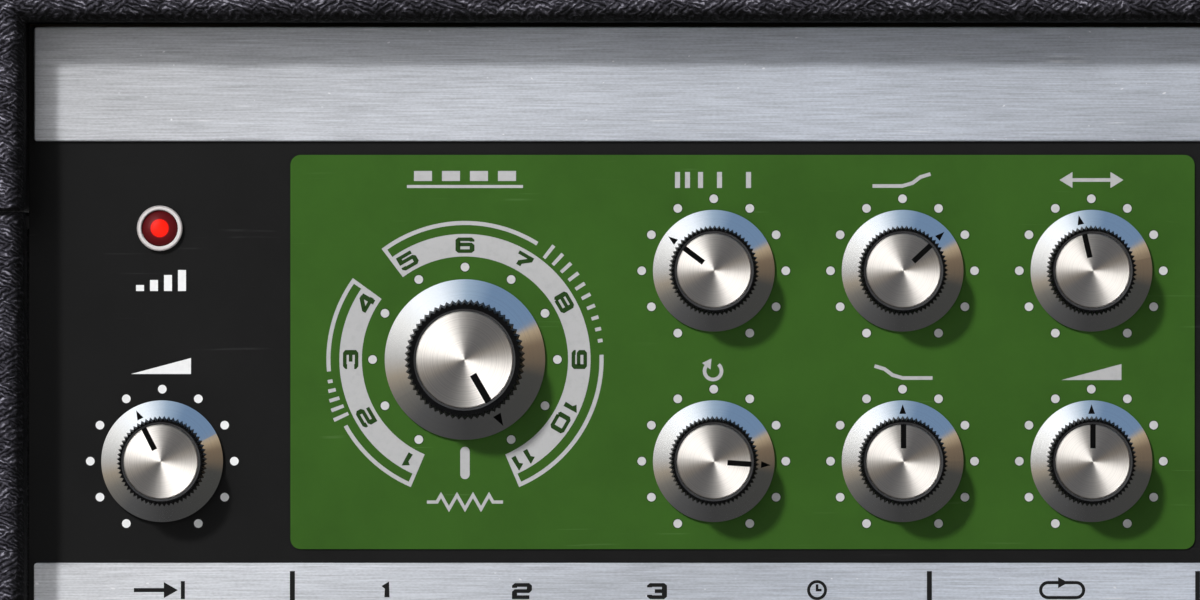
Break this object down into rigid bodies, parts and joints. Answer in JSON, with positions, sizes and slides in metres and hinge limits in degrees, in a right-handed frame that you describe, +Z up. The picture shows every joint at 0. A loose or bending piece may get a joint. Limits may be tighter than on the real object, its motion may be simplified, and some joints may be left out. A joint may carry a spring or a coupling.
{
  "type": "tape echo unit",
  "caption": "Table-top tape echo in a leatherette case: green control panel with skirted knobs, a red lamp and toggle switches in front, tape deck under a hinged lid.",
  "frame": {"origin": "under the middle of the whole object, on the surface that the feet stand on", "axes": "+X to the viewer's right along the panel, +Y from the panel to the back, +Z up"},
  "size_m": [0.3724, 0.2784, 0.194],
  "materials": {
    "leatherette": "wrinkled black covering",
    "black_paint": "satin black",
    "brushed_aluminium": "brushed",
    "green_paint": "satin green",
    "turned_aluminium": "turned and polished",
    "grip_plastic": "moulded black",
    "plated_steel": "plated",
    "dull_steel": "plain",
    "red_lens": "clear red",
    "black_plastic": "moulded black",
    "clear_plastic": "clear acrylic",
    "tape_film": "brown oxide film",
    "black_rubber": "moulded",
    "board": "bare board",
    "deck_metal": "satin grey"
  },
  "bodies": {
    "case": {"cabinet_shell": "leatherette", "case_hinge_leaves": "plated_steel", "hinge_pins": "dull_steel", "feet": "black_rubber", "front_panel": "black_paint", "top_strip": "brushed_aluminium", "bottom_strip": "brushed_aluminium", "green_plate": "green_paint", "pot_bodies": "dull_steel", "rotary_switch": "dull_steel", "toggle_bodies": "plated_steel", "lamp_bezels": "plated_steel", "lamp_lenses": "red_lens", "deck_plate": "deck_metal", "tank_cover": "clear_plastic", "tape_loop": "tape_film", "tape_heads": "plated_steel", "tape_guides": "plated_steel", "motor": "dull_steel", "drive_belt": "black_rubber", "rear_panel": "black_paint", "jack_sockets": "plated_steel", "mains_inlet": "black_plastic", "circuit_board": "board", "transformer": "dull_steel", "reverb_tank": "dull_steel"},
    "lid_body": {"lid": "leatherette", "lid_hinge_leaves": "plated_steel"},
    "input_volume_knob": {"input_volume_skirt": "turned_aluminium", "input_volume_grip": "grip_plastic", "input_volume_cap": "turned_aluminium"},
    "echo_rate_knob": {"echo_rate_skirt": "turned_aluminium", "echo_rate_grip": "grip_plastic", "echo_rate_cap": "turned_aluminium"},
    "feedback_knob": {"feedback_skirt": "turned_aluminium", "feedback_grip": "grip_plastic", "feedback_cap": "turned_aluminium"},
    "treble_knob": {"treble_skirt": "turned_aluminium", "treble_grip": "grip_plastic", "treble_cap": "turned_aluminium"},
    "bass_knob": {"bass_skirt": "turned_aluminium", "bass_grip": "grip_plastic", "bass_cap": "turned_aluminium"},
    "echo_pan_knob": {"echo_pan_skirt": "turned_aluminium", "echo_pan_grip": "grip_plastic", "echo_pan_cap": "turned_aluminium"},
    "echo_volume_knob": {"echo_volume_skirt": "turned_aluminium", "echo_volume_grip": "grip_plastic", "echo_volume_cap": "turned_aluminium"},
    "head_select_knob": {"head_select_skirt": "turned_aluminium", "head_select_grip": "grip_plastic", "head_select_cap": "turned_aluminium"},
    "input_send_toggle_lever": {"input_send_toggle": "plated_steel"},
    "tempo_sync_toggle_lever": {"tempo_sync_toggle": "plated_steel"},
    "tape_loop_toggle_lever": {"tape_loop_toggle": "plated_steel"},
    "power_toggle_lever": {"power_toggle": "plated_steel"},
    "capstan_body": {"capstan": "plated_steel"},
    "pinch_arm_body": {"pinch_arm": "plated_steel"},
    "pinch_roller_body": {"pinch_roller": "black_rubber"},
    "pulley_body": {"motor_pulley": "dull_steel"}
  },
  "joints": [
    {"name": "lid_hinge", "type": "hinge", "parent": "case", "child": "lid_body", "pos_m": [0, 0.13645, 0.1341], "axis": [-1, 0, 0], "range_deg": [0, 100]},
    {"name": "input_volume_turn", "type": "hinge", "parent": "case", "child": "input_volume_knob", "pos_m": [-0.13925, -0.11325, 0.0743], "axis": [0, 1, 0], "range_deg": [-123, 177]},
    {"name": "echo_rate_turn", "type": "hinge", "parent": "case", "child": "echo_rate_knob", "pos_m": [-0.0069, -0.11325, 0.12], "axis": [0, 1, 0], "range_deg": [-97, 203]},
    {"name": "feedback_turn", "type": "hinge", "parent": "case", "child": "feedback_knob", "pos_m": [-0.0069, -0.11325, 0.0743], "axis": [0, 1, 0], "range_deg": [-244, 56]},
    {"name": "treble_turn", "type": "hinge", "parent": "case", "child": "treble_knob", "pos_m": [0.0384, -0.11325, 0.12], "axis": [0, 1, 0], "range_deg": [-197, 103]},
    {"name": "bass_turn", "type": "hinge", "parent": "case", "child": "bass_knob", "pos_m": [0.0384, -0.11325, 0.0743], "axis": [0, 1, 0], "range_deg": [-150, 150]},
    {"name": "echo_pan_turn", "type": "hinge", "parent": "case", "child": "echo_pan_knob", "pos_m": [0.0837, -0.11325, 0.12], "axis": [0, 1, 0], "range_deg": [-137, 163]},
    {"name": "echo_volume_turn", "type": "hinge", "parent": "case", "child": "echo_volume_knob", "pos_m": [0.0837, -0.11325, 0.0743], "axis": [0, 1, 0], "range_deg": [-150, 150]},
    {"name": "head_select_turn", "type": "hinge", "parent": "case", "child": "head_select_knob", "pos_m": [-0.0666, -0.11325, 0.0987], "axis": [0, 1, 0], "range_deg": [-300, 30]},
    {"name": "input_send_toggle_tilt", "type": "hinge", "parent": "case", "child": "input_send_toggle_lever", "pos_m": [-0.13925, -0.11675, 0.032], "axis": [-1, 0, 0], "range_deg": [0, 24]},
    {"name": "tempo_sync_toggle_tilt", "type": "hinge", "parent": "case", "child": "tempo_sync_toggle_lever", "pos_m": [0.0179, -0.11675, 0.032], "axis": [-1, 0, 0], "range_deg": [0, 24]},
    {"name": "tape_loop_toggle_tilt", "type": "hinge", "parent": "case", "child": "tape_loop_toggle_lever", "pos_m": [0.0767, -0.11675, 0.032], "axis": [-1, 0, 0], "range_deg": [0, 24]},
    {"name": "power_toggle_tilt", "type": "hinge", "parent": "case", "child": "power_toggle_lever", "pos_m": [0.13925, -0.11525, 0.0743], "axis": [-1, 0, 0], "range_deg": [0, 24]},
    {"name": "capstan_spin", "type": "hinge", "parent": "case", "child": "capstan_body", "pos_m": [0.084, -0.04995, 0.1316], "axis": [0, 0, 1], "continuous": true},
    {"name": "pinch_arm_swing", "type": "hinge", "parent": "case", "child": "pinch_arm_body", "pos_m": [0.118, -0.07655, 0.1316], "axis": [0, 0, 1], "range_deg": [0, 14]},
    {"name": "pinch_roller_spin", "type": "hinge", "parent": "pinch_arm_body", "child": "pinch_roller_body", "pos_m": [0.084, -0.06255, 0.1346], "axis": [0, 0, 1], "continuous": true},
    {"name": "motor_pulley_spin", "type": "hinge", "parent": "case", "child": "pulley_body", "pos_m": [0.018, -0.01925, 0.0821], "axis": [0, 0, 1], "continuous": true}
  ],
  "couplings": [
    {"joint": "pinch_roller_spin", "follows": "capstan_spin", "ratio": -0.33333},
    {"joint": "motor_pulley_spin", "follows": "capstan_spin", "ratio": 5}
  ]
}
